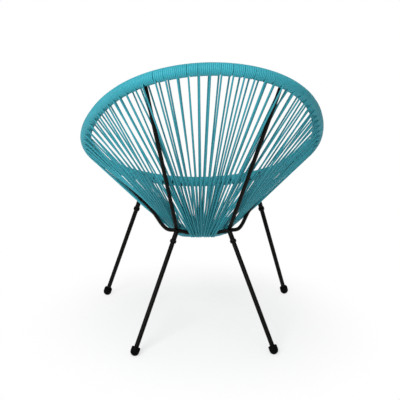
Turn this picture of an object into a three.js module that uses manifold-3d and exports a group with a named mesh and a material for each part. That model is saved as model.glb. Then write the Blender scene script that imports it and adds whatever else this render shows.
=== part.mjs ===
// Acapulco chair: a wrapped steel hoop carried by bent rods on four screw-in legs, strung with one
// cord that runs between the hoop, the rear bar and a small seat loop. Millimetres, +Z up, the front
// faces -Y, left is +X, and the origin is on the floor under the middle of the chair.
// The left half is made first, and the right half is its mirror image.

import * as THREE from 'three';
import { mergeVertices } from 'three/addons/utils/BufferGeometryUtils.js';
import Module from 'manifold-3d';

const wasm = await Module();
wasm.setup();

// Clearances
const GAP = 0.3;

// Cord
const CORD_DIAMETER = 5;
const STRAND_WIDTH = 4;

// Hoop: its centre line, from the back over the arms to the front lip
const HOOP_TUBE_DIAMETER = 25;
const HOOP_HALF_WIDTH = 351;
const HOOP_HALF_DEPTH = 350.4;
const HOOP_BACK_HEIGHT = 880.6;
const HOOP_ARM_HEIGHT = 646.4;
const HOOP_FRONT_HEIGHT = 384.7;
const HOOP_ARM_SETBACK = 35.9;
const HOOP_LIP_LIFT = 43.4;
// How the outline swells from the back to the front, and at both of these ends
const HOOP_SWELL_SHARES = { back: -0.218, ends: 0.284 };

// Bent rods. Drops are measured down from where the under frame meets the hoop.
const ROD_DIAMETER = 12;
const REAR_JOINT = { x: 80.6, y: 20, drop: 156.5 };
const FRONT_JOINT = { x: 194.4, y: -172, drop: 110.9 };
const FRAME_KNEE = { x: 155.4, y: -100, drop: 133.2 };
const FRAME_ELBOW = { x: 109.5, y: 5, drop: 158.2 };
const REAR_BAR_SIDE = { x: 41.4, y: 8, drop: 168.8 };
const REAR_BAR_MIDDLE = { x: 0, y: 0, drop: 172.4 };
// Where the struts and the under frame meet the hoop, along it from the middle of the back
const STRUT_REACH = 193.9;
const UNDER_FRAME_REACH = 898.5;
const STRUT_SETBACK = 6;

// Seat loop: a U of rod that leaves the rear bar and runs under the seat
const LOOP_END = { x: 69, y: 15, drop: 160.2 };
const LOOP_SIDE = { x: 72, y: -62, drop: 188.1 };
const LOOP_CORNER = { x: 51.1, y: -152.9, drop: 228.5 };
const LOOP_FRONT = { x: 0, y: -190, drop: 243.3 };

// Cords: stations on each half of the hoop, each with one cord outside the frame and one inside it
const BACK_STATIONS = 7;
const SIDE_STATIONS = 17;
const FRONT_STATIONS = 11;
const BAR_STATIONS = 11;
// How far the side stations spread at the arms and close up at both ends, as a share of the side
const SIDE_SPREAD_SHARE = 0.05;
const BAR_PITCH = 3.3;
// Half the gap between the two halves' first cords, beyond the pitch, and the gap beside the back field
const BAR_MIDDLE_PARTING = 1.15;
const BAR_SIDE_PARTING = 2.8;
const LOOP_WRAP_START = 8;
// Fields of cord on each half, from the middle of the back to the middle of the front lip
const FIELDS = [
  { name: 'back', stations: BACK_STATIONS },
  { name: 'shoulder', stations: 4 },
  { name: 'upper_side', stations: 3 },
  { name: 'arm', stations: 3 },
  { name: 'lower_side', stations: 3 },
  { name: 'hip', stations: 4 },
  { name: 'thigh', stations: 5 },
  { name: 'lip', stations: 6 },
];
// A cord that meets a rod beyond this share of its way is led round it where it ends
const NEAR_END_SHARE = 0.9;

// Legs
const LEG_DIAMETER = 14;
const LEG_BORE = 9;
const STUD_DIAMETER = 8.4;
const STUD_IN_SOCKET = 16;
const STUD_IN_LEG = 22;
const SOCKET_DIAMETER = 15;
const SOCKET_BORE = 9;
const COLLAR_DIAMETER = 20;
const COLLAR_BORE = 9;
const COLLAR_HEIGHT = 9.4;
const COLLAR_CHAMFER = 1.2;
const CAP_DIAMETER = 27;
const CAP_BARREL = 14.5;
const CAP_SHOULDER = 4;
const CAP_BORE_DEPTH = 18;
const CAP_FLAT_DEPTH = 0.9;
const REAR_FOOT = { x: 209.3, y: 195.4 };
const FRONT_FOOT = { x: 311.7, y: -256.7 };
// From the joint on the under frame to the middle of the collar
const REAR_COLLAR_DROP = 36.4;
const FRONT_COLLAR_DROP = 43.6;
const LEGS = [
  { name: 'rear', joint: REAR_JOINT, foot: REAR_FOOT, collarDrop: REAR_COLLAR_DROP },
  { name: 'front', joint: FRONT_JOINT, foot: FRONT_FOOT, collarDrop: FRONT_COLLAR_DROP },
];

// Facets
const TUBE_SIDES = 8;
// Flats of the windings that cords land on: they face out and up, and in and up
const OUTER_FLAT = TUBE_SIDES / 8;
const INNER_FLAT = 3 * TUBE_SIDES / 8;
const FRAME_STEPS = 40;
const LOOP_STEPS = 26;
const STATIONS_PER_LOOP_RING = 2;
const LEG_SIDES = 12;
const SHOULDER_STEPS = 3;
const DOME_STEPS = 4;
const ARC_SAMPLES = 600;
const ROD_SAMPLES = 400;

// Finishes
const BLACK_STEEL = { color: 0x1c1a18, roughness: 0.45, metalness: 0.3 };
const ZINC_STEEL = { color: 0x9a9a96, roughness: 0.4, metalness: 0.9 };
const BLACK_PLASTIC = { color: 0x151515, roughness: 0.6, metalness: 0 };
const TEAL_CORD = { color: 0x2f97a6, roughness: 0.45, metalness: 0 };

const hoopRadius = HOOP_TUBE_DIAMETER / 2;
const rodRadius = ROD_DIAMETER / 2;
const cordRadius = CORD_DIAMETER / 2;
const halfStrand = STRAND_WIDTH / 2;
const chair = new THREE.Group();

// Solids: closed meshes to join and cut

function toSolid(geometry) {
  const bare = geometry.clone();
  bare.deleteAttribute('normal');
  bare.deleteAttribute('uv');
  const merged = mergeVertices(bare);
  const corners = merged.index.array;
  const triangles = [];
  for (let i = 0; i < corners.length; i += 3) {
    const [a, b, c] = corners.slice(i, i + 3);
    if (a !== b && b !== c && c !== a) triangles.push(a, b, c);
  }
  return new wasm.Manifold(new wasm.Mesh({
    numProp: 3,
    vertProperties: new Float32Array(merged.attributes.position.array),
    triVerts: new Uint32Array(triangles),
  }));
}

function toGeometry(solid) {
  const mesh = solid.getMesh();
  const geometry = new THREE.BufferGeometry();
  geometry.setAttribute('position', new THREE.BufferAttribute(mesh.vertProperties, 3));
  geometry.setIndex(new THREE.BufferAttribute(mesh.triVerts, 1));
  geometry.computeVertexNormals();
  return geometry;
}

const joined = (solids) => solids.reduce((whole, solid) => whole.add(solid));
const cut = (solid, cutters) => cutters.reduce((rest, cutter) => rest.subtract(cutter), solid);

function mirrorGeometry(geometry) {
  const mirror = geometry.clone();
  mirror.scale(-1, 1, 1);
  const corners = mirror.index.array;
  for (let i = 0; i < corners.length; i += 3) {
    const first = corners[i];
    corners[i] = corners[i + 1];
    corners[i + 1] = first;
  }
  return mirror;
}

function addPiece(name, geometry, finish) {
  const mesh = new THREE.Mesh(geometry, new THREE.MeshStandardMaterial(finish));
  mesh.name = name;
  chair.add(mesh);
}

function addPair(name, solid, finish) {
  const geometry = toGeometry(solid);
  addPiece(`${name}_left`, geometry, finish);
  addPiece(`${name}_right`, mirrorGeometry(geometry), finish);
}

// Curves

class HoopCurve extends THREE.Curve {
  getPoint(share, target = new THREE.Vector3()) {
    const turn = share * 2 * Math.PI;
    const back = Math.cos(turn);
    const swell = 1 + HOOP_SWELL_SHARES.back * back + HOOP_SWELL_SHARES.ends * back * back;
    const rise = (HOOP_BACK_HEIGHT - HOOP_FRONT_HEIGHT) / 2 - HOOP_LIP_LIFT;
    const crown = (HOOP_BACK_HEIGHT + HOOP_FRONT_HEIGHT) / 2 - HOOP_ARM_HEIGHT;
    return target.set(
      HOOP_HALF_WIDTH * Math.sin(turn) * swell,
      HOOP_HALF_DEPTH * back - HOOP_ARM_SETBACK * (1 - back * back),
      HOOP_ARM_HEIGHT + rise * back + crown * back * back + HOOP_LIP_LIFT * back * back * back,
    );
  }
}

// The stretch of a curve between two distances along it
class Stretch extends THREE.Curve {
  constructor(curve, from, to) {
    super();
    this.curve = curve;
    this.from = from / curve.getLength();
    this.to = to / curve.getLength();
  }

  place(share) {
    return THREE.MathUtils.euclideanModulo(this.from + (this.to - this.from) * share, 1);
  }

  getPoint(share, target = new THREE.Vector3()) {
    return target.copy(this.curve.getPointAt(this.place(share)));
  }

  getTangent(share, target = new THREE.Vector3()) {
    return target.copy(this.curve.getTangentAt(this.place(share)));
  }
}

// A smooth curve through the left half's points, the middle and the mirrored points
function symmetricCurve(half, middle) {
  const others = [...half].reverse().map((point) => new THREE.Vector3(-point.x, point.y, point.z));
  const curve = new THREE.CatmullRomCurve3([...half, middle, ...others]);
  curve.arcLengthDivisions = ARC_SAMPLES;
  return curve;
}

const onCurve = (curve, distance) => curve.getPointAt(distance / curve.getLength());
const line = (from, to) => new THREE.LineCurve3(from, to);

const hoop = new HoopCurve();
hoop.arcLengthDivisions = ARC_SAMPLES;
const halfHoop = hoop.getLength() / 2;
const frameHead = onCurve(hoop, UNDER_FRAME_REACH);
const belowHead = ({ x, y, drop }) => new THREE.Vector3(x, y, frameHead.z - drop);
const framePoints = [FRONT_JOINT, FRAME_KNEE, FRAME_ELBOW, REAR_JOINT, REAR_BAR_SIDE].map(belowHead);
const underFrame = symmetricCurve([frameHead, ...framePoints], belowHead(REAR_BAR_MIDDLE));
const halfFrame = underFrame.getLength() / 2;
const loopPoints = [LOOP_END, LOOP_SIDE, LOOP_CORNER].map(belowHead);
const seatLoop = symmetricCurve(loopPoints, belowHead(LOOP_FRONT));
const halfLoop = seatLoop.getLength() / 2;

// The strut's head sits on the back of the hoop tube, just behind the sheet of cords
function strutLine() {
  const foot = belowHead(REAR_JOINT);
  const head = onCurve(hoop, STRUT_REACH);
  const along = hoop.getTangentAt(STRUT_REACH / hoop.getLength());
  const down = foot.clone().sub(head);
  return line(head.add(along.cross(down).setLength(STRUT_SETBACK)), foot);
}

const strut = strutLine();

// Stations are counted along the left half of the hoop, from the middle of the back, each with its
// place on the rear bar or the seat loop. Halves are the places between two stations.

const stations = BACK_STATIONS + SIDE_STATIONS + FRONT_STATIONS;

function hoopReach(station) {
  const side = station - BACK_STATIONS;
  const front = side - SIDE_STATIONS;
  if (side < 0) return (station + 1 / 2) * STRUT_REACH / BACK_STATIONS;
  if (front < 0) {
    const share = (side + 1 / 2) / SIDE_STATIONS;
    const spread = share - SIDE_SPREAD_SHARE * Math.sin(2 * Math.PI * share);
    return STRUT_REACH + spread * (UNDER_FRAME_REACH - STRUT_REACH);
  }
  return UNDER_FRAME_REACH + (front + 1 / 2) * (halfHoop - UNDER_FRAME_REACH) / FRONT_STATIONS;
}

function barReach(station) {
  const middle = BAR_MIDDLE_PARTING * THREE.MathUtils.clamp(2 * station + 1, 0, 1);
  const side = BAR_SIDE_PARTING * THREE.MathUtils.clamp(station - BACK_STATIONS + 1, 0, 1);
  return halfFrame - (station + 1 / 2) * BAR_PITCH - middle - side;
}

function loopReach(station) {
  const pitch = (halfLoop - LOOP_WRAP_START) / (stations - BAR_STATIONS);
  return LOOP_WRAP_START + (station - BAR_STATIONS + 1 / 2) * pitch;
}

function seatPlace(station, onBar) {
  const curve = onBar ? underFrame : seatLoop;
  const reach = onBar ? barReach(station) : loopReach(station);
  return {
    point: onCurve(curve, reach),
    // Along the seat rod in the sense of the stations
    tangent: curve.getTangentAt(reach / curve.getLength()).multiplyScalar(onBar ? -1 : 1),
  };
}

// The places of the windings' rings on the rear bar and on the seat loop
const barPlaces = [
  ...[0, 1, 2].map((third) => third / 3 * BACK_STATIONS - 1 / 2),
  ...[0, 1, 2, 3, 4].map((fourth) => (
    BACK_STATIONS + fourth / 4 * (BAR_STATIONS - BACK_STATIONS) - 1 / 2
  )),
];
const loopRings = Math.round((stations - BAR_STATIONS) / STATIONS_PER_LOOP_RING);
const loopPlaces = Array.from({ length: loopRings + 1 }, (_, i) => (
  BAR_STATIONS - 1 / 2 + i / loopRings * (stations - BAR_STATIONS)
));

// The two rings that a station's cords land between, and its share of the way from one to the other
function seatSpan(station) {
  const onBar = station < BAR_STATIONS - 1 / 2;
  const places = onBar ? barPlaces : loopPlaces;
  const next = Math.max(places.findIndex((place) => place >= station), 1);
  const [first, last] = [places[next - 1], places[next]];
  const reach = onBar ? barReach : loopReach;
  return { onBar, first, last, share: (reach(station) - reach(first)) / (reach(last) - reach(first)) };
}

// A station's point on the rod that its cords land on, on the straight line between the two rings
function seatPoint(station) {
  const { onBar, first, last, share } = seatSpan(station);
  return seatPlace(first, onBar).point.lerp(seatPlace(last, onBar).point, share);
}

// Rings of points round a tube. A ring's flats face out of the seat, into it, up and down.

function ringAround(centre, tangent, out, radius) {
  const side = tangent.clone().cross(out).normalize();
  const level = side.clone().cross(tangent);
  return Array.from({ length: TUBE_SIDES }, (_, i) => {
    const angle = (i + 1 / 2) * 2 * Math.PI / TUBE_SIDES;
    const corner = radius / Math.cos(Math.PI / TUBE_SIDES);
    return centre.clone()
      .addScaledVector(level, corner * Math.cos(angle))
      .addScaledVector(side, corner * Math.sin(angle));
  });
}

// Which way is out of the seat at a place between stations
function outwardAt(station) {
  const reach = hoopReach(station);
  const down = seatPoint(station).sub(onCurve(hoop, reach));
  return hoop.getTangentAt(reach / hoop.getLength()).cross(down).normalize();
}

function hoopRing(station, radius) {
  const reach = hoopReach(station);
  const tangent = hoop.getTangentAt(reach / hoop.getLength());
  return ringAround(onCurve(hoop, reach), tangent, outwardAt(station), radius);
}

function seatRing(station, radius, onBar) {
  const { point, tangent } = seatPlace(station, onBar);
  return ringAround(point, tangent, outwardAt(station), radius);
}

// A flat of the winding on the seat, where a station's cord lands on it
function seatFlat(station, flat) {
  const { onBar, first, last, share } = seatSpan(station);
  const [before, after] = [first, last].map((place) => seatRing(place, rodRadius + CORD_DIAMETER, onBar));
  const [outer, inner] = [flat - 1, flat].map((i) => before[i].clone().lerp(after[i], share));
  const along = after[flat].clone().add(after[flat - 1]).sub(before[flat]).sub(before[flat - 1]);
  const across = inner.clone().sub(outer);
  return { point: outer.lerp(inner, 1 / 2), normal: across.cross(along).normalize() };
}

const between = (ring, next, distance) => {
  const share = distance / ring[0].distanceTo(next[0]);
  return ring.map((point, i) => point.clone().lerp(next[i], share));
};

// A closed skin over a row of rings, which ends in two flat faces or runs back to the first ring
function skin(rings, closed) {
  const sides = rings[0].length;
  const corners = [];
  const spans = closed ? rings.length : rings.length - 1;
  for (let i = 0; i < spans; i += 1) {
    const here = i * sides;
    const next = (i + 1) % rings.length * sides;
    for (let k = 0; k < sides; k += 1) {
      const beside = (k + 1) % sides;
      corners.push(here + k, here + beside, next + k, here + beside, next + beside, next + k);
    }
  }
  const last = (rings.length - 1) * sides;
  for (let k = 1; !closed && k < sides - 1; k += 1) {
    corners.push(0, k + 1, k, last, last + k, last + k + 1);
  }
  const geometry = new THREE.BufferGeometry().setFromPoints(rings.flat());
  geometry.setIndex(corners);
  return toSolid(geometry);
}

const mirrorRing = (ring) => ring.map((point) => new THREE.Vector3(-point.x, point.y, point.z));
const placesBetween = (first, last) => (
  Array.from({ length: last - first + 2 }, (_, i) => first - 1 / 2 + i)
);

// The whole hoop as a closed tube
function hoopTube(radius) {
  const half = placesBetween(0, stations - 1).map((station) => hoopRing(station, radius));
  const others = half.slice(1, -1).reverse().map(mirrorRing);
  return skin([...half, ...others], true);
}

// Rods along a curve. Radii are measured to the flats.

function sweep(curve, radius, steps) {
  const corner = radius / Math.cos(Math.PI / TUBE_SIDES);
  const shape = new THREE.Shape(Array.from({ length: TUBE_SIDES }, (_, i) => {
    const angle = (i + 1 / 2) * 2 * Math.PI / TUBE_SIDES;
    return new THREE.Vector2(corner * Math.cos(angle), corner * Math.sin(angle));
  }));
  return toSolid(new THREE.ExtrudeGeometry(shape, { extrudePath: curve, steps }));
}

// Each tube, and the room it takes with a clearance all round
const tubes = {
  hoop: { tube: hoopTube(hoopRadius), room: hoopTube(hoopRadius + GAP) },
  frame: rodAndRoom(underFrame, FRAME_STEPS),
  loop: rodAndRoom(seatLoop, LOOP_STEPS),
  strut: rodAndRoom(strut, 1),
};

function rodAndRoom(curve, steps) {
  return { tube: sweep(curve, rodRadius, steps), room: sweep(curve, rodRadius + GAP, steps) };
}

function addFrame() {
  addPiece('outer_hoop', toGeometry(tubes.hoop.tube), BLACK_STEEL);
  addPiece('under_frame', toGeometry(cut(tubes.frame.tube, [tubes.hoop.room])), BLACK_STEEL);
  addPiece('seat_loop', toGeometry(cut(tubes.loop.tube, [tubes.frame.room])), BLACK_STEEL);
  addPair('back_strut', cut(tubes.strut.tube, [tubes.hoop.room, tubes.frame.room]), BLACK_STEEL);
}

// Legs: each is turned about its own axis, measured down from the joint on the under frame

function legLayout(leg) {
  const joint = belowHead(leg.joint);
  const foot = new THREE.Vector3(leg.foot.x, leg.foot.y, CAP_DIAMETER / 2 - CAP_FLAT_DEPTH);
  const axis = foot.clone().sub(joint);
  const socketFoot = leg.collarDrop - COLLAR_HEIGHT / 2 - GAP;
  const capTop = axis.length() - CAP_BARREL;
  return {
    joint,
    direction: axis.clone().normalize(),
    footCentre: axis.length(),
    socketFoot,
    socketBoreTop: socketFoot - STUD_IN_SOCKET - GAP,
    collarTop: leg.collarDrop - COLLAR_HEIGHT / 2,
    collarFoot: leg.collarDrop + COLLAR_HEIGHT / 2,
    legTop: leg.collarDrop + COLLAR_HEIGHT / 2 + GAP,
    capTop,
    capFloor: capTop + CAP_BORE_DEPTH,
  };
}

function turned(layout, profile) {
  const points = profile.map(([radius, drop]) => new THREE.Vector2(radius, drop));
  const geometry = new THREE.LatheGeometry(points, LEG_SIDES);
  geometry.applyQuaternion(new THREE.Quaternion().setFromUnitVectors(
    new THREE.Vector3(0, 1, 0),
    layout.direction,
  ));
  return toSolid(geometry.translate(...layout.joint.toArray()));
}

function socketProfile({ socketFoot, socketBoreTop }) {
  const bore = SOCKET_BORE / 2;
  const outer = SOCKET_DIAMETER / 2;
  return [
    [0, 0], [outer, 0], [outer, socketFoot],
    [bore, socketFoot], [bore, socketBoreTop], [0, socketBoreTop],
  ];
}

function studProfile({ socketBoreTop, legTop }) {
  const radius = STUD_DIAMETER / 2;
  const top = socketBoreTop + GAP;
  const bottom = legTop + STUD_IN_LEG;
  return [[0, top], [radius, top], [radius, bottom], [0, bottom]];
}

function collarProfile({ collarTop, collarFoot }) {
  const bore = COLLAR_BORE / 2;
  const outer = COLLAR_DIAMETER / 2;
  const face = outer - COLLAR_CHAMFER;
  return [
    [bore, collarTop], [face, collarTop], [outer, collarTop + COLLAR_CHAMFER],
    [outer, collarFoot - COLLAR_CHAMFER], [face, collarFoot], [bore, collarFoot], [bore, collarTop],
  ];
}

function legTubeProfile({ legTop, capFloor }) {
  const bore = LEG_BORE / 2;
  const outer = LEG_DIAMETER / 2;
  const bottom = capFloor - GAP;
  return [[bore, legTop], [outer, legTop], [outer, bottom], [bore, bottom], [bore, legTop]];
}

function capProfile({ footCentre, capTop, capFloor }) {
  const radius = CAP_DIAMETER / 2;
  const bore = LEG_DIAMETER / 2 + GAP;
  const points = [[0, capFloor], [bore, capFloor], [bore, capTop]];
  for (let i = 0; i <= SHOULDER_STEPS; i += 1) {
    const angle = i / SHOULDER_STEPS * Math.PI / 2;
    const inset = CAP_SHOULDER * (1 - Math.sin(angle));
    points.push([radius - inset, capTop + CAP_SHOULDER * (1 - Math.cos(angle))]);
  }
  for (let i = 0; i <= DOME_STEPS; i += 1) {
    const angle = i / DOME_STEPS * Math.PI / 2;
    points.push([radius * Math.cos(angle), footCentre + radius * Math.sin(angle)]);
  }
  return points;
}

function floorUnder(layout) {
  const foot = layout.direction.clone().multiplyScalar(layout.footCentre).add(layout.joint);
  const slab = new THREE.BoxGeometry(CAP_DIAMETER * 2, CAP_DIAMETER * 2, CAP_DIAMETER);
  return toSolid(slab.translate(foot.x, foot.y, -CAP_DIAMETER / 2));
}

function addLeg(leg) {
  const layout = legLayout(leg);
  const socket = cut(turned(layout, socketProfile(layout)), [tubes.frame.room, tubes.strut.room]);
  addPair(`leg_socket_${leg.name}`, socket, BLACK_STEEL);
  addPair(`leg_stud_${leg.name}`, turned(layout, studProfile(layout)), ZINC_STEEL);
  addPair(`leg_collar_${leg.name}`, turned(layout, collarProfile(layout)), BLACK_STEEL);
  addPair(`leg_tube_${leg.name}`, turned(layout, legTubeProfile(layout)), BLACK_STEEL);
  const cap = cut(turned(layout, capProfile(layout)), [floorUnder(layout)]);
  addPair(`foot_cap_${leg.name}`, cap, BLACK_PLASTIC);
}

// Cords

// Points along what the outer cords have to get round
const strutPoints = strut.getPoints(ROD_SAMPLES);
const frameSidePoints = new Stretch(underFrame, 0, halfFrame).getPoints(ROD_SAMPLES);
const socket = legLayout(LEGS.find(({ name }) => name === 'front'));
const socketEnd = socket.joint.clone().addScaledVector(socket.direction, socket.socketFoot);
const socketPoints = line(socket.joint, socketEnd).getPoints(ROD_SAMPLES);

// A station's straight run from the winding on the hoop to the winding on the seat
function straightRun(station, layer) {
  const before = onCurve(hoop, hoopReach(station - 1 / 2));
  const after = onCurve(hoop, hoopReach(station + 1 / 2));
  const top = before.clone().lerp(after, 1 / 2);
  const down = seatPoint(station).sub(top);
  const out = after.sub(before).cross(down).normalize();
  const from = top.clone().addScaledVector(out, (hoopRadius + cordRadius) * layer);
  const to = seatFlat(station, layer > 0 ? OUTER_FLAT : INNER_FLAT).point;
  const along = to.clone().sub(from).normalize();
  const across = along.clone().cross(out).normalize();
  const face = across.clone().cross(along);
  return { from, to, along, across, face, length: from.distanceTo(to) };
}

function seenFrom(run, point) {
  const offset = point.clone().sub(run.from);
  return { along: offset.dot(run.along), aside: offset.dot(run.across), out: offset.dot(run.face) };
}

// How the outer cord of a station gets past one rod: the stretch of its way, and the push it takes.
// Sides are 1 for outside the rod, -1 for inside it and 0 for whichever is nearer.
function detourPast(run, samples, side) {
  const reach = rodRadius + cordRadius + GAP;
  const near = samples.map((point) => seenFrom(run, point))
    .filter(({ along, aside }) => Math.abs(aside) < reach && along > 0 && along < run.length);
  if (near.length === 0) return [];
  const outs = near.map(({ out }) => out);
  const outside = Math.max(0, Math.max(...outs) + reach);
  const inside = Math.min(0, Math.min(...outs) - reach);
  const size = side > 0 || (side === 0 && outside < -inside) ? outside : inside;
  if (size === 0) return [];
  const places = near.map(({ along }) => along);
  const push = run.face.clone().multiplyScalar(size);
  return [{ start: Math.min(...places), end: Math.max(...places), push }];
}

// The front socket stands in the outer cords' way, so they part round it. The lift is how far out
// other detours bring the cord.
function detourAsideSocket(run, lift) {
  const across = socket.direction.dot(run.across);
  const out = socket.direction.dot(run.face);
  const reach = ((SOCKET_DIAMETER + CORD_DIAMETER) / 2 + GAP) * Math.hypot(across, out) / Math.abs(out);
  const level = socketPoints.map((point) => seenFrom(run, point))
    .reduce((best, seen) => (Math.abs(seen.out - lift) < Math.abs(best.out - lift) ? seen : best));
  if (Math.abs(level.aside) > reach || Math.abs(level.out - lift) > reach) return [];
  return [{
    start: level.along - reach,
    end: level.along + reach,
    push: run.across.clone().multiplyScalar(level.aside - Math.sign(level.aside) * reach),
  }];
}

function detours(run, station) {
  const pastRods = [
    ...detourPast(run, strutPoints, station === BACK_STATIONS ? 1 : -1),
    ...detourPast(run, frameSidePoints, 0),
  ];
  const lift = pastRods.reduce((sum, { push }) => sum + push.dot(run.face), 0);
  return [...pastRods, ...detourAsideSocket(run, lift)];
}

// The points of a cord's way, and the face of the winding that it lands on. A detour fades out
// towards both ends, and one that lies near the seat turns the landing instead.
function cordWay(station, layer) {
  const run = straightRun(station, layer);
  const all = layer > 0 ? detours(run, station) : [];
  const late = all.filter(({ end }) => end > run.length * NEAR_END_SHARE);
  const turns = late.map(({ start, push }) => -push.dot(run.face) * run.length / start);
  const flatsTurned = Math.ceil(Math.max(0, ...turns) / (rodRadius + CORD_DIAMETER) / Math.SQRT1_2);
  const outerFlat = Math.min(OUTER_FLAT + flatsTurned, INNER_FLAT);
  const landing = seatFlat(station, layer > 0 ? outerFlat : INNER_FLAT);
  const early = all.filter((detour) => !late.includes(detour));
  const bends = early.flatMap(({ start, end }) => [start, end]).sort((a, b) => a - b);
  const points = bends.map((along) => early.reduce((point, { start, end, push }) => {
    const fade = Math.min(along / start, 1, (run.length - along) / (run.length - end));
    return point.addScaledVector(push, fade);
  }, run.from.clone().lerp(landing.point, along / run.length)));
  return { points: [run.from, ...points, landing.point], outward: run.face.multiplyScalar(layer), landing };
}

// A cord of square section from inside the winding on the hoop to the face of the winding on the seat
function cordSolid(station, layer) {
  const { points, outward, landing } = cordWay(station, layer);
  const rings = points.map((point, i) => {
    const [before, after] = [points[Math.max(i - 1, 0)], points[Math.min(i + 1, points.length - 1)]];
    const along = after.clone().sub(before).normalize();
    const across = outward.clone().cross(along).setLength(halfStrand);
    const up = along.clone().cross(across).setLength(halfStrand);
    return [[1, 1], [-1, 1], [-1, -1], [1, -1]].map(([side, level]) => (
      point.clone().addScaledVector(across, side).addScaledVector(up, level)
    ));
  });
  const last = rings.length - 1;
  rings[0].forEach((corner, i) => {
    corner.addScaledVector(rings[1][i].clone().sub(corner).normalize(), -halfStrand);
  });
  rings[last].forEach((corner, i) => {
    const way = corner.clone().sub(rings[last - 1][i]).normalize();
    const height = corner.clone().sub(landing.point).dot(landing.normal);
    corner.addScaledVector(way, (GAP - height) / way.dot(landing.normal));
  });
  return skin(rings, false);
}

// The winding of one field on the hoop, which stops short of its neighbours
function hoopWinding(places) {
  const rings = places.map((place) => hoopRing(place, hoopRadius + CORD_DIAMETER));
  const last = rings.length - 1;
  const start = between(rings[0], rings[1], GAP / 2);
  const end = between(rings[last], rings[last - 1], GAP / 2);
  return skin([start, ...rings.slice(1, -1), end], false);
}

const seatRings = (places, onBar) => (
  places.map((place) => seatRing(place, rodRadius + CORD_DIAMETER, onBar))
);

function addCords() {
  const rooms = Object.values(tubes).map(({ room }) => room);
  let first = 0;
  FIELDS.forEach((field) => {
    const last = first + field.stations - 1;
    const own = Array.from({ length: field.stations }, (_, i) => (
      [1, -1].map((layer) => cordSolid(first + i, layer))
    )).flat();
    const whole = joined([hoopWinding(placesBetween(first, last)), ...own]);
    addPair(`cord_${field.name}`, cut(whole, rooms), TEAL_CORD);
    first = last + 1;
  });
  const bar = seatRings(barPlaces, true);
  const barRings = [...bar.slice(1).reverse().map(mirrorRing), ...bar];
  addPiece('cord_bar_winding', toGeometry(cut(skin(barRings, false), rooms)), TEAL_CORD);
  const loop = seatRings(loopPlaces, false);
  const loopSkin = [...loop, ...loop.slice(0, -1).reverse().map(mirrorRing)];
  addPiece('cord_loop_winding', toGeometry(cut(skin(loopSkin, false), rooms)), TEAL_CORD);
}

addFrame();
LEGS.forEach(addLeg);
addCords();

export default chair;
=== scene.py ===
"""Acapulco chair: a wrapped hoop on bent rods and screw-in legs, strung with one teal cord.

Metres, +Z up. The front faces -Y and the sitter's left is +X. The photograph shows the chair from behind.
"""

import math
import random

import bpy
import numpy as np
from mathutils import Matrix, Vector


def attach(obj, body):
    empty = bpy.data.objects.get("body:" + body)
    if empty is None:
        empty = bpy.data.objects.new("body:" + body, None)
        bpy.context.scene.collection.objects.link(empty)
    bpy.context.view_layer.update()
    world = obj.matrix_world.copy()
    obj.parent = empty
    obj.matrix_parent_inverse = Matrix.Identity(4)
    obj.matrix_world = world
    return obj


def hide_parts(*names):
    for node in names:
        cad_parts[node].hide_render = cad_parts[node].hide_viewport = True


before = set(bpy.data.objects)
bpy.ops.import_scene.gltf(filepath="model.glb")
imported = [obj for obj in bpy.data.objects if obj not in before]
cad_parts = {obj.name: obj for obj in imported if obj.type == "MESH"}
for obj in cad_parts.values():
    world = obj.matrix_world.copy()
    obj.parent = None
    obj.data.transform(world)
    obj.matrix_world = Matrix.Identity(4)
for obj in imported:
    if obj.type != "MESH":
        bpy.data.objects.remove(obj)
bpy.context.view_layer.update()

# The sizes of the chair are in millimetres, and so is every point until it becomes a mesh
MM = 0.001
SIDEWAYS = np.array([1.0, 0.0, 0.0])
UP = np.array([0.0, 0.0, 1.0])

# Hoop: its centre line from the back over the arms to the front lip
HOOP_TUBE_RADIUS = 12.5
HOOP_HALF_WIDTH = 351.0
HOOP_HALF_DEPTH = 350.4
HOOP_BACK_HEIGHT = 880.6
HOOP_ARM_HEIGHT = 646.4
HOOP_FRONT_HEIGHT = 384.7
HOOP_ARM_SETBACK = 35.9
HOOP_LIP_LIFT = 43.4
HOOP_SWELL_BACK_SHARE = -0.218
HOOP_SWELL_ENDS_SHARE = 0.284

# Bent rods. A reach is a distance along the hoop from the middle of the back
ROD_RADIUS = 6.0
STRUT_REACH = 193.9
UNDER_FRAME_REACH = 898.5
STRUT_SETBACK = 6.0
REAR_JOINT = (80.6, 20.0, 334.7)
FRONT_JOINT = (194.4, -172.0, 380.3)
FRAME_KNEE = (155.4, -100.0, 358.0)
FRAME_ELBOW = (109.5, 5.0, 333.0)
REAR_BAR_SIDE = (41.4, 8.0, 322.4)
REAR_BAR_MIDDLE = (0.0, 0.0, 318.8)
LOOP_END = (69.0, 15.0, 331.0)
LOOP_SIDE = (72.0, -62.0, 303.1)
LOOP_CORNER = (51.1, -152.9, 262.7)
LOOP_FRONT = (0.0, -190.0, 247.9)

# Cord, and its stations: one loop of cord each, counted on one half of the hoop
CORD_RADIUS = 2.5
BACK_STATIONS = 7
SIDE_STATIONS = 17
FRONT_STATIONS = 11
STATIONS = BACK_STATIONS + SIDE_STATIONS + FRONT_STATIONS
FIELDS = [
    ("back", BACK_STATIONS),
    ("shoulder", 4),
    ("upper_side", 3),
    ("arm", 3),
    ("lower_side", 3),
    ("hip", 4),
    ("thigh", 5),
    ("lip", 6),
]
# How much closer the side's stations stand at its two ends than in its middle
SIDE_SPREAD_SHARE = 0.05
# How far the photographed loops lie along the hoop from their even places, from the middle of the back
LEFT_STRAYS = (0, 0, 1, 1, 5, 7, 16, 18, 24, 25, 20, 15, 10, 5)
RIGHT_STRAYS = (0, 3, 4, 5, 7, 8, 10, 8, 6, 8, 10, 8, 12, 10)

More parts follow.
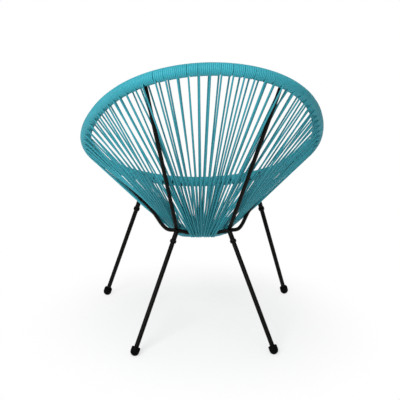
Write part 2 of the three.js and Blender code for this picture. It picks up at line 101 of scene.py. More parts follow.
# The first stations turn round the rear bar, every second one on top, and the rest round the seat loop.
# The bar's turns part in its middle and again past the struts
BAR_STATIONS = 11
BAR_PITCH = 3.3
BAR_MIDDLE_PARTING = 1.15
BAR_SIDE_PARTING = 2.8
BAR_LAYER = 3.8
BAR_TURNS = 0.5
BAR_DRIFT = 1.6
LOOP_TURNS = 1.5
LOOP_WRAP_START = 8.0
TURN_PITCH = 5.0

# Strands: half the distance between a station's two on the hoop, and the range that is added to it
SPLIT = 1.4
SPLIT_TRIM = (-0.3, 0.5)
# How far a station strays along the hoop at most, and the middle of an inner strand in or out
STRAY = 0.8
SWAY = 0.6
# What an outer strand keeps clear of other pieces, as the legs' pieces do of each other, and the share of
# its length within which it bends past them
CLEARANCE = 0.3
NEAR_END_SHARE = 0.9
# The loop whose outer strand crosses over the strut
CROSSING_STATION = 6
# An outer strand passes outside the under frame where that takes less than this share of the way inside
OUTSIDE_SHARE = 0.5
# A bend reaches this far each way, but never quite halfway to the next one
BEND_TRIM = 4.0
BEND_ROOM_DIVISOR = 2.1

# Winding on the hoop: the width of a slit, the share of the stretches between stations that have one, and
# how much of it lies ahead of the turns
SLIT = 2.0
SLIT_SHARE = 0.2
SLIT_AHEAD_SHARE = 0.6
# Turns pressed against each other are a little wider than their pitch, and squarer than round: the cosine
# that gives the height of the cord's section is raised to this power
PRESS_SHARE = 1.09
PRESS_POWER = 0.5

# Legs
LEG_RADIUS = 7.0
SOCKET_RADIUS = 7.5
COLLAR_RADIUS = 10.0
COLLAR_HEIGHT = 9.4
SOCKET_EDGE = 0.8
COLLAR_EDGE = 1.6
LEG_EDGE = 0.6
CAP_RADIUS = 13.5
CAP_BARREL = 14.5
CAP_SHOULDER = 4.0
CAP_FLAT_DEPTH = 0.9
CAP_MOUTH_DEPTH = 1.0
CAP_MOUTH_GRIP = 0.5
CAP_MOUTH_FLARE = 0.3
LEGS = {
    "rear": {"joint": REAR_JOINT, "foot": (209.3, 195.4), "collar_drop": 36.4},
    "front": {"joint": FRONT_JOINT, "foot": (311.7, -256.7), "collar_drop": 43.6},
}

# Samples and facets
HOOP_SAMPLES = 4001
CURVE_SAMPLES = 2000
STRUT_SAMPLES = 400
SOCKET_SAMPLES = 200
TANGENT_REACH = 0.5
CORD_SIDES = 8
TURN_STEPS = 16
ROD_SIDES = 20
ROD_STEP = 5.0
STRUT_STEP = 60.0
# A rod as steep as this takes its facets from the sideways direction
STEEP = 0.9
LEG_SIDES = 32
EDGE_STEPS = 4
SHOULDER_STEPS = 6
BALL_STEPS = 12
AXIS_RADIUS = 1e-6

chance = random.Random(7)


# Curves

def unit(vector):
    return vector / np.linalg.norm(vector)


def units(rows):
    return rows / np.linalg.norm(rows, axis=1)[:, None]


def mirrored(points):
    return np.asarray(points) * np.array([-1.0, 1.0, 1.0])


class Path:
    """A row of points read by the distance along it."""

    def __init__(self, points):
        self.points = np.asarray(points, float)
        steps = np.linalg.norm(np.diff(self.points, axis=0), axis=1)
        self.reach = np.concatenate([[0.0], np.cumsum(steps)])
        self.length = self.reach[-1]

    def at(self, distance):
        return np.array([np.interp(distance, self.reach, self.points[:, i]) for i in range(3)])

    def tangent(self, distance):
        ahead = self.at(min(distance + TANGENT_REACH, self.length))
        behind = self.at(max(distance - TANGENT_REACH, 0.0))
        return unit(ahead - behind)

    def stepped(self, step):
        """Even points from one end to the other, at most a step apart."""
        count = max(2, math.ceil(self.length / step) + 1)
        return np.array([self.at(distance) for distance in np.linspace(0, self.length, count)])


def hoop_point(turn):
    back = math.cos(turn)
    swell = 1 + HOOP_SWELL_BACK_SHARE * back + HOOP_SWELL_ENDS_SHARE * back * back
    rise = (HOOP_BACK_HEIGHT - HOOP_FRONT_HEIGHT) / 2 - HOOP_LIP_LIFT
    crown = (HOOP_BACK_HEIGHT + HOOP_FRONT_HEIGHT) / 2 - HOOP_ARM_HEIGHT
    return (
        HOOP_HALF_WIDTH * math.sin(turn) * swell,
        HOOP_HALF_DEPTH * back - HOOP_ARM_SETBACK * (1 - back * back),
        HOOP_ARM_HEIGHT + rise * back + crown * back * back + HOOP_LIP_LIFT * back ** 3,
    )


def smooth_curve(knots):
    """A centripetal Catmull-Rom curve through the knots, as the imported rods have."""
    knots = np.asarray(knots, float)
    spans = len(knots) - 1
    points = []
    for place in np.linspace(0, spans, CURVE_SAMPLES):
        i = min(int(place), spans - 1)
        share = place - i
        before = knots[i - 1] if i > 0 else 2 * knots[0] - knots[1]
        start, end = knots[i], knots[i + 1]
        after = knots[i + 2] if i + 2 <= spans else 2 * knots[-1] - knots[-2]
        lead, run, tail = (
            math.sqrt(np.linalg.norm(b - a)) for a, b in ((before, start), (start, end), (end, after))
        )
        leave = ((start - before) / lead - (end - before) / (lead + run) + (end - start) / run) * run
        arrive = ((end - start) / run - (after - start) / (run + tail) + (after - end) / tail) * run
        points.append(
            start + leave * share
            + (3 * (end - start) - 2 * leave - arrive) * share ** 2
            + (2 * (start - end) + leave + arrive) * share ** 3
        )
    return Path(points)


def symmetric_curve(half, middle):
    return smooth_curve([*half, middle, *[mirrored(point) for point in reversed(half)]])


half_hoop = Path([hoop_point(turn) for turn in np.linspace(0, math.pi, HOOP_SAMPLES)])
frame_head = half_hoop.at(UNDER_FRAME_REACH)
under_frame = symmetric_curve(
    [frame_head, FRONT_JOINT, FRAME_KNEE, FRAME_ELBOW, REAR_JOINT, REAR_BAR_SIDE], REAR_BAR_MIDDLE
)
seat_loop = symmetric_curve([LOOP_END, LOOP_SIDE, LOOP_CORNER], LOOP_FRONT)


def strut_path():
    head = half_hoop.at(STRUT_REACH)
    foot = np.array(REAR_JOINT)
    back = unit(np.cross(half_hoop.tangent(STRUT_REACH), foot - head))
    return Path(np.linspace(head + back * STRUT_SETBACK, foot, STRUT_SAMPLES))


strut = strut_path()


# Stations: where the cord leaves the hoop, and where it turns round the rear bar or the seat loop.
# The left half counts 0, 1, 2 ... from the middle of the back, and the right half -1, -2, -3 ...

def hoop_reach(station):
    side = station - BACK_STATIONS
    front = side - SIDE_STATIONS
    if side < 0:
        return (station + 0.5) * STRUT_REACH / BACK_STATIONS
    if front < 0:
        share = (side + 0.5) / SIDE_STATIONS
        share -= SIDE_SPREAD_SHARE * math.sin(2 * math.pi * share)
        return STRUT_REACH + share * (UNDER_FRAME_REACH - STRUT_REACH)
    return UNDER_FRAME_REACH + (front + 0.5) * (half_hoop.length - UNDER_FRAME_REACH) / FRONT_STATIONS


def seat_place(station):
    """The rod that a station's cord turns round, and how far along it."""
    if station < BAR_STATIONS:
        parting = BAR_MIDDLE_PARTING + (BAR_SIDE_PARTING if station >= BACK_STATIONS else 0.0)
        return under_frame, under_frame.length / 2 - (station + 0.5) * BAR_PITCH - parting
    pitch = (seat_loop.length / 2 - LOOP_WRAP_START) / (STATIONS - BAR_STATIONS)
    return seat_loop, LOOP_WRAP_START + (station - BAR_STATIONS + 0.5) * pitch


def seat_axes(station):
    """The centre of the rod at a station, its direction, and which ways are out of the seat and up."""
    rod, reach = seat_place(station)
    centre = rod.at(reach)
    along = rod.tangent(reach) * (-1 if rod is under_frame else 1)
    top = half_hoop.at(hoop_reach(station))
    out = unit(np.cross(half_hoop.tangent(hoop_reach(station)), centre - top))
    out = unit(out - along * out.dot(along))
    return centre, along, out, np.cross(along, out)


def hoop_outs():
    """Which way is out of the seat at each station of the left half."""
    outs = []
    for station in range(STATIONS):
        reach = hoop_reach(station)
        rod, place = seat_place(station)
        down = rod.at(place) - half_hoop.at(reach)
        outs.append(unit(np.cross(half_hoop.tangent(reach), down)))
    return np.array(outs)


station_outs = hoop_outs()
station_reaches = np.array([hoop_reach(station) for station in range(STATIONS)])


def hoop_axes(reach):
    """The hoop's centre, its direction, and which ways are out of the seat and up, at any reach.

    The left half has positive reaches and the right half negative ones.
    """
    side = abs(reach)
    if side > half_hoop.length:
        return hoop_axes(math.copysign(2 * half_hoop.length - side, -reach))
    centre = half_hoop.at(side)
    along = half_hoop.tangent(side)
    out = np.array([np.interp(side, station_reaches, station_outs[:, i]) for i in range(3)])
    out = unit(out - along * out.dot(along))
    up = np.cross(along, out)
    if reach < 0:
        return mirrored(centre), -mirrored(along), mirrored(out), mirrored(up)
    return centre, along, out, up


# Strands: how the cord runs from the hoop to the seat and back

def leg_axis(leg):
    """A leg's joint, its direction, and how far below the joint the centre of the cap's ball is."""
    joint = np.array(leg["joint"])
    foot = np.array([*leg["foot"], CAP_RADIUS - CAP_FLAT_DEPTH])
    return joint, unit(foot - joint), np.linalg.norm(foot - joint)


def socket_samples():
    joint, direction, _ = leg_axis(LEGS["front"])
    length = LEGS["front"]["collar_drop"] - COLLAR_HEIGHT / 2
    return np.array([joint + direction * drop for drop in np.linspace(0, length, SOCKET_SAMPLES)])


frame_samples = under_frame.points[: len(under_frame.points) // 2]
front_socket = socket_samples()


def bends_past(start, end, out, station):
    """The points where an outer strand has to bend to get past the strut, the frame and the socket."""
    length = np.linalg.norm(end - start)
    along = (end - start) / length
    across = unit(np.cross(along, out))
    face = np.cross(across, along)
    clear = ROD_RADIUS + CORD_RADIUS + CLEARANCE
    found = []
    for samples, side in ((strut.points, 1 if station == CROSSING_STATION else -1), (frame_samples, 0)):
        seen = samples - start
        places, asides, outs = seen @ along, seen @ across, seen @ face
        near = (abs(asides) < clear) & (places > 0) & (places < length * NEAR_END_SHARE)
        if not near.any():
            continue
        outside = max(0.0, outs[near].max() + clear)
        inside = min(0.0, outs[near].min() - clear)
        push = outside if side > 0 or (side == 0 and outside < -inside * OUTSIDE_SHARE) else inside
        if push:
            found.append((places[near].min(), places[near].max(), push * face))
    lift = sum(push.dot(face) for _, _, push in found)
    seen = front_socket - start
    gap = SOCKET_RADIUS + CORD_RADIUS + CLEARANCE
    level = np.argmin(abs(seen @ face - lift))
    aside = (seen @ across)[level]
    if abs(aside) < gap and abs((seen @ face)[level] - lift) < gap:
        place = (seen @ along)[level]
        found.append((place - gap, place + gap, (aside - math.copysign(gap, aside)) * across))
    bends = sorted(place for low, high, _ in found for place in (low, high))
    points = []
    for place in bends:
        point = start + along * place
        for low, high, push in found:
            point = point + push * min(place / low, 1, (length - place) / (length - high))
        points.append(point)
    return points


class Way:
    """A row of points of the cord's middle, with the way that its outer face looks and its half width."""

    def __init__(self, points=(), faces=(), widths=()):
        self.points = list(points)
        self.faces = list(faces)
        self.widths = list(widths)

    def add(self, point, face, half_width=CORD_RADIUS):
        self.points.append(point)
        self.faces.append(face)
        self.widths.append(half_width)

    def extend(self, other, first=0, last=None):
        self.points.extend(other.points[first:last])
        self.faces.extend(other.faces[first:last])
        self.widths.extend(other.widths[first:last])

    def mirrored(self):
        return Way(map(mirrored, self.points), map(mirrored, self.faces), self.widths)

    def reversed(self):
        return Way(self.points[::-1], self.faces[::-1], self.widths[::-1])


def seat_turn(station):
    """The cord's turns round the seat rod, from the outer strand to the inner one."""
    centre, along, out, up = seat_axes(station)
    on_bar = station < BAR_STATIONS
    radius = ROD_RADIUS + CORD_RADIUS + (BAR_LAYER if on_bar and station % 2 else 0.0)
    turns = BAR_TURNS if on_bar else LOOP_TURNS
    drift = BAR_DRIFT if on_bar else TURN_PITCH * turns
    steps = int(turns * TURN_STEPS)
    way = Way()
    for i in range(steps + 1):
        angle = -2 * math.pi * turns * i / steps
        face = out * math.cos(angle) + up * math.sin(angle)
        way.add(centre + radius * face + along * drift * (i / steps - 0.5), face)
    return way


def rounded(points):
    """The same way with each sharp corner turned into a short curve."""
    result = [points[0]]
    for before, corner, after in zip(points, points[1:], points[2:]):
        into, away = corner - before, after - corner
        room = min(np.linalg.norm(into), np.linalg.norm(away)) / BEND_ROOM_DIVISOR
        trim = min(BEND_TRIM, room)
        start, end = corner - unit(into) * trim, corner + unit(away) * trim
        for share in (0, 1 / 3, 2 / 3, 1):
            first, second = start + (corner - start) * share, corner + (end - corner) * share
            result.append(first + (second - first) * share)
    result.append(points[-1])
    return result


class Station:
    """One loop of cord: out from the hoop, round the seat rod and back up to the hoop."""

    def __init__(self, number):
        self.left = number >= 0
        self.own = number if self.left else -1 - number
        strays = LEFT_STRAYS if self.left else RIGHT_STRAYS
        reach = hoop_reach(self.own) + (strays[self.own] if self.own < len(strays) else 0)
        self.split = SPLIT + chance.uniform(*SPLIT_TRIM)
        self.reach = (reach if self.left else -reach) + chance.uniform(-STRAY, STRAY)
        self.turn = seat_turn(self.own)
        if not self.left:
            self.turn = self.turn.mirrored()

    def strand(self, layer):
        """The strand outside the seat (1), or the one inside it (-1), from the hoop to the seat rod."""
        centre, _, out, _ = hoop_axes(self.reach - layer * self.split)
        start = centre + out * (HOOP_TUBE_RADIUS + CORD_RADIUS) * layer
        end = self.turn.points[0] if layer > 0 else self.turn.points[-1]
        if layer < 0:
            middle = (start + end) / 2 + out * chance.uniform(-SWAY, SWAY)
            points = [start, middle, end]
        elif self.left:
            points = [start, *bends_past(start, end, out, self.own), end]
        else:
            bends = bends_past(mirrored(start), mirrored(end), mirrored(out), self.own)
            points = [start, *[mirrored(point) for point in bends], end]
        way = Way()
        for point in rounded(points):
            way.add(point, out * layer)
        return way


def winding(start, end):
    """The turns on the hoop from one station's inner strand to the next one's outer strand."""
    slack = SLIT if chance.random() < SLIT_SHARE else 0.0
    turns = max(1, round((end - start - slack) / TURN_PITCH - 0.5)) + 0.5
    start += slack * SLIT_AHEAD_SHARE
    end -= slack * (1 - SLIT_AHEAD_SHARE)
    count = int(turns * TURN_STEPS)
    half_width = (end - start) / turns / 2 * PRESS_SHARE
    way = Way()
    for i in range(1, count):
        share = i / count
        angle = math.pi * (1 - 2 * turns * share)
        centre, _, out, up = hoop_axes(start + (end - start) * share)
        face = out * math.cos(angle) + up * math.sin(angle)
        way.add(centre + (HOOP_TUBE_RADIUS + CORD_RADIUS) * face, face, half_width)
    return way


# Shapes: each is a list of vertices and a list of faces

def directions(points):
    """Which way a row of points runs, at each of them."""
    steps = units(np.diff(points, axis=0))
    return units(np.vstack([steps[:1], steps[:-1] + steps[1:], steps[-1:]]))


def tube_faces(rings, sides):
    faces = []
    for i in range(rings - 1):
        here, there = i * sides, (i + 1) * sides
        for k in range(sides):
            beside = (k + 1) % sides
            faces.append((here + k, here + beside, there + beside, there + k))
    faces.append(tuple(reversed(range(sides))))
    faces.append(tuple(range((rings - 1) * sides, rings * sides)))
    return faces


def round_rod(path, step):
    """A rod with closed ends along a path."""
    points = path.stepped(step)
    tangents = directions(points)
    normal = unit(np.cross(tangents[0], UP if abs(tangents[0][2]) < STEEP else SIDEWAYS))
    angles = np.arange(ROD_SIDES) * 2 * math.pi / ROD_SIDES
    vertices = []
    for point, tangent in zip(points, tangents):
        normal = unit(normal - tangent * normal.dot(tangent))
        side = np.cross(tangent, normal)
        vertices.extend(point + ROD_RADIUS * (normal * math.cos(a) + side * math.sin(a)) for a in angles)
    return vertices, tube_faces(len(points), ROD_SIDES)


def cord(way):
    """The cord along a way: round, or pressed against the next turn where its turns lie side by side."""
    points, faces_out = np.asarray(way.points), np.asarray(way.faces)
    tangents = directions(points)
    tops = units(faces_out - tangents * np.sum(faces_out * tangents, axis=1)[:, None])
    sides = np.cross(tangents, tops)
    vertices = []
    for point, top, side, width in zip(points, tops, sides, way.widths):
        power = 1 if width == CORD_RADIUS else PRESS_POWER
        for k in range(CORD_SIDES):
            angle = 2 * math.pi * (k + 0.5) / CORD_SIDES
            height = math.copysign(abs(math.cos(angle)) ** power, math.cos(angle))
            vertices.append(point + CORD_RADIUS * height * top + width * math.sin(angle) * side)
    return vertices, tube_faces(len(points), CORD_SIDES)


def turned(profile, base, direction):
    """A closed solid of revolution. The profile lists radius and drop along the axis, from axis to axis."""
    across = unit(np.cross(direction, UP))
    level = np.cross(direction, across)
    vertices, faces, rings = [], [], []
    for radius, drop in profile:
        centre = base + direction * drop
        if radius < AXIS_RADIUS:
            rings.append([len(vertices)])
            vertices.append(centre)
            continue
        rings.append(list(range(len(vertices), len(vertices) + LEG_SIDES)))
        for k in range(LEG_SIDES):
            angle = 2 * math.pi * k / LEG_SIDES
            vertices.append(centre + radius * (across * math.cos(angle) + level * math.sin(angle)))
    for first, second in zip(rings, rings[1:]):
        for k in range(LEG_SIDES):
            beside = (k + 1) % LEG_SIDES
            if len(first) == 1 and len(second) > 1:
                faces.append((first[0], second[beside], second[k]))
            elif len(second) == 1 and len(first) > 1:
                faces.append((first[k], first[beside], second[0]))
            elif len(first) > 1:
                faces.append((first[k], first[beside], second[beside], second[k]))
    return vertices, faces


def merged(shapes):
    vertices, faces = [], []
    for shape_vertices, shape_faces in shapes:
        base = len(vertices)
        vertices.extend(shape_vertices)
        faces.extend(tuple(i + base for i in face) for face in shape_faces)
    return vertices, faces


def mirrored_shape(shape):
    vertices, faces = shape
    return [mirrored(point) for point in vertices], [tuple(reversed(face)) for face in faces]


# Materials. A noise is given by its scale, its detail and, where it has one, its stretch

FINISHES = {
    # Smooth PVC cord: the teal drifts a little from loop to loop, with faint scuffs
    "teal_cord": {
        "name": "teal_pvc",
        "colour": (0.03, 0.29, 0.355),
        "roughness": 0.45,
        "inputs": {"Specular IOR Level": 0.22},
        "tint": {"noise": (9, 2), "low": (0.027, 0.275, 0.335), "high": (0.034, 0.315, 0.385)},
        "gloss": {"noise": (160, 4), "low": 0.38, "high": 0.54},
        "grain": {"noise": (700, 2), "strength": 0.15, "depth": 0.0003},
    },
    # Satin black powder coat with its fine orange peel
    "black_steel": {
        "name": "black_powder_coat",
        "colour": (0.0035, 0.0033, 0.003),
        "roughness": 0.42,
        "inputs": {"Specular IOR Level": 0.055},
        "tint": {"noise": (60, 5), "low": (0.003, 0.0028, 0.0025), "high": (0.0045, 0.0042, 0.0038)},
        "gloss": {"noise": (60, 5), "low": 0.36, "high": 0.5},
        "grain": {"noise": (1400, 3), "strength": 0.25, "depth": 0.0004},
    },
    # Moulded black plastic caps
    "black_plastic": {
        "name": "black_moulded_plastic",
        "colour": (0.0015, 0.0015, 0.0014),
        "roughness": 0.55,
        "inputs": {"Specular IOR Level": 0.035},
        "gloss": {"noise": (300, 4), "low": 0.48, "high": 0.66},
        "grain": {"noise": (1800, 2), "strength": 0.2, "depth": 0.0003},
    },
    # Bright zinc plate on the studs' threads
    "zinc_steel": {
        "name": "zinc_plate",
        "colour": (0.55, 0.55, 0.54),
        "roughness": 0.35,
        "inputs": {"Metallic": 1},
        "tint": {"noise": (400, 3), "low": (0.48, 0.48, 0.46), "high": (0.62, 0.62, 0.6)},
        "grain": {"noise": (900, 1, (0.1, 0.1, 8)), "strength": 0.4, "depth": 0.0005},
    },
}
# The tint goes from its low to its high colour between these values of its noise
TINT_FROM, TINT_TO = 0.3, 0.7


def shader(name, colour, roughness):
    material = bpy.data.materials.new(name)
    material.use_nodes = True
    nodes, links = material.node_tree.nodes, material.node_tree.links
    surface = nodes["Principled BSDF"]
    surface.inputs["Base Color"].default_value = (*colour, 1)
    surface.inputs["Roughness"].default_value = roughness
    return material, nodes, links, surface


def noise(nodes, links, scale, detail, stretch=(1, 1, 1)):
    place = nodes.new("ShaderNodeTexCoord")
    mapping = nodes.new("ShaderNodeMapping")
    mapping.inputs["Scale"].default_value = stretch
    texture = nodes.new("ShaderNodeTexNoise")
    texture.inputs["Scale"].default_value = scale
    texture.inputs["Detail"].default_value = detail
    links.new(place.outputs["Object"], mapping.inputs["Vector"])
    links.new(mapping.outputs["Vector"], texture.inputs["Vector"])
    return texture.outputs["Fac"]


def add_tint(nodes, links, surface, tint):
    ramp = nodes.new("ShaderNodeValToRGB")
    low, high = ramp.color_ramp.elements
    low.position, low.color = TINT_FROM, (*tint["low"], 1)
    high.position, high.color = TINT_TO, (*tint["high"], 1)
    links.new(noise(nodes, links, *tint["noise"]), ramp.inputs["Fac"])
    links.new(ramp.outputs["Color"], surface.inputs["Base Color"])


def add_gloss(nodes, links, surface, gloss):
    spread = nodes.new("ShaderNodeMapRange")
    spread.inputs["To Min"].default_value = gloss["low"]
    spread.inputs["To Max"].default_value = gloss["high"]
    links.new(noise(nodes, links, *gloss["noise"]), spread.inputs["Value"])
    links.new(spread.outputs["Result"], surface.inputs["Roughness"])


def add_grain(nodes, links, surface, grain):
    bump = nodes.new("ShaderNodeBump")
    bump.inputs["Strength"].default_value = grain["strength"]
    bump.inputs["Distance"].default_value = grain["depth"]
    links.new(noise(nodes, links, *grain["noise"]), bump.inputs["Height"])
    links.new(bump.outputs["Normal"], surface.inputs["Normal"])


def make_finish(finish):
    material, nodes, links, surface = shader(finish["name"], finish["colour"], finish["roughness"])
    for name, value in finish["inputs"].items():
        surface.inputs[name].default_value = value
    if "tint" in finish:
        add_tint(nodes, links, surface, finish["tint"])
    if "gloss" in finish:
        add_gloss(nodes, links, surface, finish["gloss"])
    add_grain(nodes, links, surface, finish["grain"])
    return material


materials = {slot: make_finish(finish) for slot, finish in FINISHES.items()}


# Pieces

def new_piece(name, shape, slot, *nodes):
    vertices, faces = shape
    mesh = bpy.data.meshes.new(name)
    mesh.from_pydata([tuple(point * MM) for point in vertices], [], faces)
    mesh.polygons.foreach_set("use_smooth", [True] * len(mesh.polygons))
    mesh.materials.append(materials[slot])
    piece = bpy.data.objects.new(name, mesh)
    bpy.context.scene.collection.objects.link(piece)
    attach(piece, "root")
    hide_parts(*nodes)


def field_numbers():
    """Each field's name and its stations, for both halves."""
    first = 0
    for name, count in FIELDS:
        own = range(first, first + count)
        yield f"{name}_left", list(own)
        yield f"{name}_right", [-1 - number for number in reversed(own)]
        first += count


def make_windings(order, stations):
    """The winding that follows each station on the hoop."""
    windings = {}
    for number, following in zip(order, order[1:] + order[:1]):
        start = stations[number].reach + stations[number].split
        end = stations[following].reach - stations[following].split
        if end < start:
            end += 2 * half_hoop.length
        windings[number] = winding(start, end)
    return windings


def make_cords():
    """The cord is cut into fields in the middle of a winding, and into lengths where it meets the seat."""
    order = list(range(-STATIONS, STATIONS))
    stations = {number: Station(number) for number in order}
    windings = make_windings(order, stations)
    for name, numbers in field_numbers():
        before = windings[order[order.index(numbers[0]) - 1]]
        lengths = []
        way = Way()
        way.extend(before, len(before.points) // 2)
        for number in numbers:
            way.extend(stations[number].strand(1))
            lengths.append(way)
            way = stations[number].strand(-1).reversed()
            last = len(windings[number].points) // 2 + 1 if number == numbers[-1] else None
            way.extend(windings[number], 0, last)
        lengths.append(way)
        new_piece(f"strung_{name}", merged(map(cord, lengths)), "teal_cord", f"cord_{name}")
    turns = {"bar": [], "loop": []}
    for station in stations.values():
        turns["bar" if station.own < BAR_STATIONS else "loop"].append(cord(station.turn))
    for rod, shapes in turns.items():
        new_piece(f"{rod}_turns", merged(shapes), "teal_cord", f"cord_{rod}_winding")


def make_rods():
    new_piece("bent_under_frame", round_rod(under_frame, ROD_STEP), "black_steel", "under_frame")
    new_piece("bent_seat_loop", round_rod(seat_loop, ROD_STEP), "black_steel", "seat_loop")
    rod = round_rod(strut, STRUT_STEP)
    new_piece("round_strut_left", rod, "black_steel", "back_strut_left")
    new_piece("round_strut_right", mirrored_shape(rod), "black_steel", "back_strut_right")


def quarter(steps):
    """The angles from 0 to a right angle."""
    return [i / steps * math.pi / 2 for i in range(steps + 1)]


def plug_profile(top, bottom, radius, edge):
    """A plug with rounded rims."""
    upper = [
        (radius - edge * (1 - math.sin(angle)), top + edge * (1 - math.cos(angle)))
        for angle in quarter(EDGE_STEPS)
    ]
    lower = [
        (radius - edge * (1 - math.cos(angle)), bottom - edge * (1 - math.sin(angle)))
        for angle in quarter(EDGE_STEPS)
    ]
    return [(0, top), *upper, *lower, (0, bottom)]


def cap_profile(top, ball):
    """A barrel with a small mouth round the leg, a rounded shoulder and a ball end."""
    mouth = [
        (0, top + CAP_MOUTH_DEPTH),
        (LEG_RADIUS - CAP_MOUTH_GRIP, top + CAP_MOUTH_DEPTH),
        (LEG_RADIUS + CAP_MOUTH_FLARE, top),
    ]
    shoulder = [
        (CAP_RADIUS - CAP_SHOULDER * (1 - math.sin(angle)), top + CAP_SHOULDER * (1 - math.cos(angle)))
        for angle in quarter(SHOULDER_STEPS)
    ]
    end = [
        (CAP_RADIUS * math.cos(angle), ball + CAP_RADIUS * math.sin(angle))
        for angle in quarter(BALL_STEPS)
    ]
    return mouth + shoulder + end


def flattened(shape):
    """The same shape with its foot pressed flat on the floor."""
    vertices, faces = shape
    return [np.array([x, y, max(z, 0.0)]) for x, y, z in vertices], faces


def make_leg(name, leg):
    joint, direction, ball = leg_axis(leg)
    collar_top = leg["collar_drop"] - COLLAR_HEIGHT / 2
    collar_foot = leg["collar_drop"] + COLLAR_HEIGHT / 2
    socket = plug_profile(0, collar_top - CLEARANCE, SOCKET_RADIUS, SOCKET_EDGE)
    collar = plug_profile(collar_top, collar_foot, COLLAR_RADIUS, COLLAR_EDGE)
    tube = plug_profile(collar_foot + CLEARANCE, ball, LEG_RADIUS, LEG_EDGE)
    cap = cap_profile(ball - CAP_BARREL, ball)
    pieces = {
        "leg_socket": (turned(socket, joint, direction), "black_steel"),
        "leg_collar": (turned(collar, joint, direction), "black_steel"),
        "leg_tube": (turned(tube, joint, direction), "black_steel"),
        "foot_cap": (flattened(turned(cap, joint, direction)), "black_plastic"),
    }
    for piece, (shape, slot) in pieces.items():
        node = f"{piece}_{name}"
        new_piece(f"round_{node}_left", shape, slot, f"{node}_left")
        new_piece(f"round_{node}_right", mirrored_shape(shape), slot, f"{node}_right")


def dress(node, slot):
    for place in node.material_slots:
        place.link = "OBJECT"
        place.material = materials[slot]


def dress_cad():
    """The hoop inside its winding and the studs inside their sockets stay as they are packed."""
    for name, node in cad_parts.items():
        if name == "outer_hoop":
            dress(node, "black_steel")
        elif name.startswith("leg_stud"):
            dress(node, "zinc_steel")


make_cords()
make_rods()
for leg_name, leg_sizes in LEGS.items():
    make_leg(leg_name, leg_sizes)
dress_cad()


# Camera: behind the chair, a little to its left and above. Its place is in metres, its angles in radians

CAMERA_PLACE = (0.169354, 2.450757, 1.187253)
CAMERA_YAW = -0.0626
CAMERA_PITCH = 0.3006
CAMERA_ROLL = 0.0182
FOCAL_PX = 834.19
PHOTO_PX = 400
MIDDLE_PX = 198.12
SENSOR = 36


def make_camera():
    ahead = np.array([
        math.sin(CAMERA_YAW) * math.cos(CAMERA_PITCH),
        -math.cos(CAMERA_YAW) * math.cos(CAMERA_PITCH),
        -math.sin(CAMERA_PITCH),
    ])
    level = unit(np.cross(ahead, UP))
    upright = np.cross(level, ahead)
    right = math.cos(CAMERA_ROLL) * level + math.sin(CAMERA_ROLL) * upright
    top = np.cross(right, ahead)
    data = bpy.data.cameras.new("camera")
    camera = bpy.data.objects.new("camera", data)
    bpy.context.scene.collection.objects.link(camera)
    turn = Matrix((right, top, -ahead)).transposed().to_4x4()
    camera.matrix_world = Matrix.Translation(Vector(CAMERA_PLACE)) @ turn
    data.sensor_width = SENSOR
    data.lens = FOCAL_PX / PHOTO_PX * SENSOR
    data.shift_x = (PHOTO_PX / 2 - MIDDLE_PX) / PHOTO_PX
    bpy.context.scene.camera = camera


make_camera()


# Stage, in metres and watts: a white floor that keeps a faint shadow, and soft light

FLOOR_HALF = 20
FLOOR_COLOUR = (0.85, 0.85, 0.85)
FLOOR_ROUGHNESS = 0.9
# Near the chair the camera sees part of the floor's shadow, and further away it sees plain white
FLOOR_GLOW = 0.6
SHADE_REACH = 0.22
WHITE_REACH = 0.62
WHITE = (1, 1, 1, 1)
SKY_STRENGTH = 0.5
LAMPS = {
    "key": {"place": (1.35, 2.3, 2.1), "target": (0, 0, 0.6), "size": 1.5, "power": 69},
    "top": {"place": (0, 0.9, 3.0), "target": (0, 0.2, 0.6), "size": 1.8, "power": 20},
}


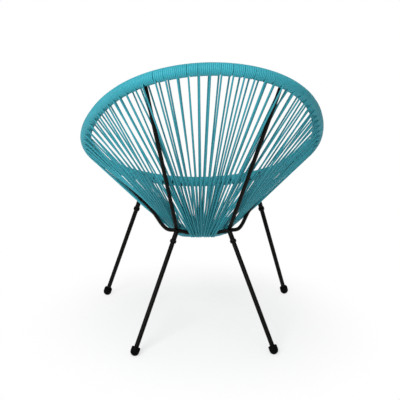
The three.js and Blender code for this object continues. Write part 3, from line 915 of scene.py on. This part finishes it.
def floor_material():
    material, nodes, links, surface = shader("floor_white", FLOOR_COLOUR, FLOOR_ROUGHNESS)
    surface.inputs["Specular IOR Level"].default_value = 0
    glow = nodes.new("ShaderNodeEmission")
    rays = nodes.new("ShaderNodeLightPath")
    seen = nodes.new("ShaderNodeMath")
    seen.operation = "MAXIMUM"
    links.new(rays.outputs["Is Camera Ray"], seen.inputs[0])
    links.new(rays.outputs["Is Glossy Ray"], seen.inputs[1])
    place = nodes.new("ShaderNodeTexCoord")
    away = nodes.new("ShaderNodeVectorMath")
    away.operation = "LENGTH"
    links.new(place.outputs["Object"], away.inputs[0])
    spread = nodes.new("ShaderNodeMapRange")
    spread.interpolation_type = "SMOOTHSTEP"
    spread.inputs["From Min"].default_value = SHADE_REACH
    spread.inputs["From Max"].default_value = WHITE_REACH
    spread.inputs["To Min"].default_value = FLOOR_GLOW
    links.new(away.outputs["Value"], spread.inputs["Value"])
    share = nodes.new("ShaderNodeMath")
    share.operation = "MULTIPLY"
    links.new(seen.outputs[0], share.inputs[0])
    links.new(spread.outputs["Result"], share.inputs[1])
    mix = nodes.new("ShaderNodeMixShader")
    links.new(share.outputs[0], mix.inputs["Fac"])
    links.new(surface.outputs[0], mix.inputs[1])
    links.new(glow.outputs[0], mix.inputs[2])
    links.new(mix.outputs[0], nodes["Material Output"].inputs["Surface"])
    return material


def make_floor():
    mesh = bpy.data.meshes.new("floor")
    corners = [(x * FLOOR_HALF, y * FLOOR_HALF, 0) for x, y in ((-1, -1), (1, -1), (1, 1), (-1, 1))]
    mesh.from_pydata(corners, [], [(0, 1, 2, 3)])
    mesh.materials.append(floor_material())
    floor = bpy.data.objects.new("floor", mesh)
    bpy.context.scene.collection.objects.link(floor)


def make_world():
    """A white background that lights the chair more softly than it shows."""
    world = bpy.data.worlds.new("studio")
    world.use_nodes = True
    nodes, links = world.node_tree.nodes, world.node_tree.links
    light = nodes["Background"]
    light.inputs["Color"].default_value = WHITE
    light.inputs["Strength"].default_value = SKY_STRENGTH
    backdrop = nodes.new("ShaderNodeBackground")
    backdrop.inputs["Color"].default_value = WHITE
    rays = nodes.new("ShaderNodeLightPath")
    mix = nodes.new("ShaderNodeMixShader")
    links.new(rays.outputs["Is Camera Ray"], mix.inputs["Fac"])
    links.new(light.outputs[0], mix.inputs[1])
    links.new(backdrop.outputs[0], mix.inputs[2])
    links.new(mix.outputs[0], nodes["World Output"].inputs["Surface"])
    bpy.context.scene.world = world


def make_lamp(name, place, target, size, power):
    data = bpy.data.lights.new(name, "AREA")
    data.shape = "DISK"
    data.size = size
    data.energy = power
    lamp = bpy.data.objects.new(name, data)
    bpy.context.scene.collection.objects.link(lamp)
    lamp.location = place
    lamp.rotation_euler = (Vector(target) - Vector(place)).to_track_quat("-Z", "Y").to_euler()


make_floor()
make_world()
for lamp_name, lamp_settings in LAMPS.items():
    make_lamp(lamp_name, **lamp_settings)
bpy.context.scene.view_settings.view_transform = "Standard"
